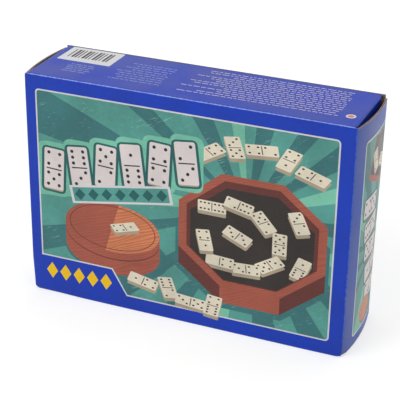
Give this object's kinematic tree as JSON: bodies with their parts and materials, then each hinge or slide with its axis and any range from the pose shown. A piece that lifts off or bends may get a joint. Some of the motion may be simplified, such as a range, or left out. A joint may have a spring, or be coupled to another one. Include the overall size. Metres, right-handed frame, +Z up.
{
  "type": "domino storage box",
  "caption": "Printed folding carton with bowed tuck flaps at its ends, standing on its long narrow side, holding a hinged wooden case of dominoes.",
  "frame": {"origin": "middle of the underside of the carton as it stands on its long narrow side", "axes": "+X along the carton to its right end, +Y from the front panel to the back panel, +Z up"},
  "size_m": [0.2466, 0.065, 0.171],
  "materials": {
    "printed_board": "satin print",
    "raw_board": "raw",
    "stained_wood": "satin varnish",
    "dark_wood": "satin varnish",
    "light_wood": "satin varnish",
    "lining": "flock",
    "nickel": "nickel plated",
    "ivory": "polished"
  },
  "bodies": {
    "carton": {"front_panel": "printed_board", "back_panel": "printed_board", "top_panel": "printed_board", "bottom_panel": "printed_board", "glue_flap": "raw_board"},
    "right_end_flap": {"right_end_flap": "printed_board"},
    "right_tuck_tab": {"right_tuck_tab": "printed_board"},
    "right_top_dust_flap": {"right_top_dust_flap": "printed_board"},
    "right_bottom_dust_flap": {"right_bottom_dust_flap": "printed_board"},
    "left_end_flap": {"left_end_flap": "printed_board"},
    "left_tuck_tab": {"left_tuck_tab": "printed_board"},
    "left_top_dust_flap": {"left_top_dust_flap": "printed_board"},
    "left_bottom_dust_flap": {"left_bottom_dust_flap": "printed_board"},
    "case": {"base_board": "light_wood", "tray_lining": "lining", "base_latch_rail": "stained_wood", "base_hinge_rail": "stained_wood", "base_right_rail": "stained_wood", "base_left_rail": "stained_wood", "lid_dark_board": "dark_wood", "lid_light_board": "light_wood", "lid_lining": "lining", "lid_latch_rail": "stained_wood", "lid_hinge_rail": "stained_wood", "lid_right_rail": "stained_wood", "lid_left_rail": "stained_wood", "hinge_base_leaves": "nickel", "hinge_lid_leaves": "nickel", "hinge_pins": "nickel", "latch_hook": "nickel", "latch_catch": "nickel", "case_screws": "nickel", "domino_6_6": "ivory", "domino_6_5": "ivory", "domino_6_4": "ivory", "domino_6_3": "ivory", "domino_6_2": "ivory", "domino_6_1": "ivory", "domino_6_0": "ivory", "domino_5_5": "ivory", "domino_5_4": "ivory", "domino_5_3": "ivory", "domino_5_2": "ivory", "domino_5_1": "ivory", "domino_5_0": "ivory", "domino_4_4": "ivory", "domino_4_3": "ivory", "domino_4_2": "ivory", "domino_4_1": "ivory", "domino_4_0": "ivory", "domino_3_3": "ivory", "domino_3_2": "ivory", "domino_3_1": "ivory", "domino_3_0": "ivory", "domino_2_2": "ivory", "domino_2_1": "ivory", "domino_2_0": "ivory", "domino_1_1": "ivory", "domino_1_0": "ivory", "domino_0_0": "ivory"}
  },
  "joints": [
    {"name": "right_end_flap_hinge", "type": "hinge", "parent": "carton", "child": "right_end_flap", "pos_m": [0.11962, -0.03212, 0.0855], "axis": [0, 0, -1], "range_deg": [0, 130]},
    {"name": "right_tuck_tab_fold", "type": "hinge", "parent": "right_end_flap", "child": "right_tuck_tab", "pos_m": [0.1211, 0.0301, 0.0855], "axis": [0, 0, -1], "range_deg": [0, 33]},
    {"name": "right_top_dust_flap_hinge", "type": "hinge", "parent": "carton", "child": "right_top_dust_flap", "pos_m": [0.11812, 0, 0.17062], "axis": [0, -1, 0], "range_deg": [0, 85]},
    {"name": "right_bottom_dust_flap_hinge", "type": "hinge", "parent": "carton", "child": "right_bottom_dust_flap", "pos_m": [0.11812, 0, 0.00038], "axis": [0, 1, 0], "range_deg": [0, 85]},
    {"name": "left_end_flap_hinge", "type": "hinge", "parent": "carton", "child": "left_end_flap", "pos_m": [-0.11962, -0.03212, 0.0855], "axis": [0, 0, 1], "range_deg": [0, 130]},
    {"name": "left_tuck_tab_fold", "type": "hinge", "parent": "left_end_flap", "child": "left_tuck_tab", "pos_m": [-0.1211, 0.0301, 0.0855], "axis": [0, 0, 1], "range_deg": [0, 33]},
    {"name": "left_top_dust_flap_hinge", "type": "hinge", "parent": "carton", "child": "left_top_dust_flap", "pos_m": [-0.11812, 0, 0.17062], "axis": [0, 1, 0], "range_deg": [0, 85]},
    {"name": "left_bottom_dust_flap_hinge", "type": "hinge", "parent": "carton", "child": "left_bottom_dust_flap", "pos_m": [-0.11812, 0, 0.00038], "axis": [0, -1, 0], "range_deg": [0, 85]},
    {"name": "case_slide", "type": "slide", "parent": "carton", "child": "case", "axis": [1, 0, 0], "range_m": [-0.0058, 0.0058]}
  ],
  "couplings": [
    {"joint": "right_tuck_tab_fold", "follows": "right_end_flap_hinge", "ratio": 0.25},
    {"joint": "right_top_dust_flap_hinge", "follows": "right_end_flap_hinge", "ratio": 0.65},
    {"joint": "right_bottom_dust_flap_hinge", "follows": "right_end_flap_hinge", "ratio": 0.65},
    {"joint": "left_tuck_tab_fold", "follows": "left_end_flap_hinge", "ratio": 0.25},
    {"joint": "left_top_dust_flap_hinge", "follows": "left_end_flap_hinge", "ratio": 0.65},
    {"joint": "left_bottom_dust_flap_hinge", "follows": "left_end_flap_hinge", "ratio": 0.65}
  ]
}
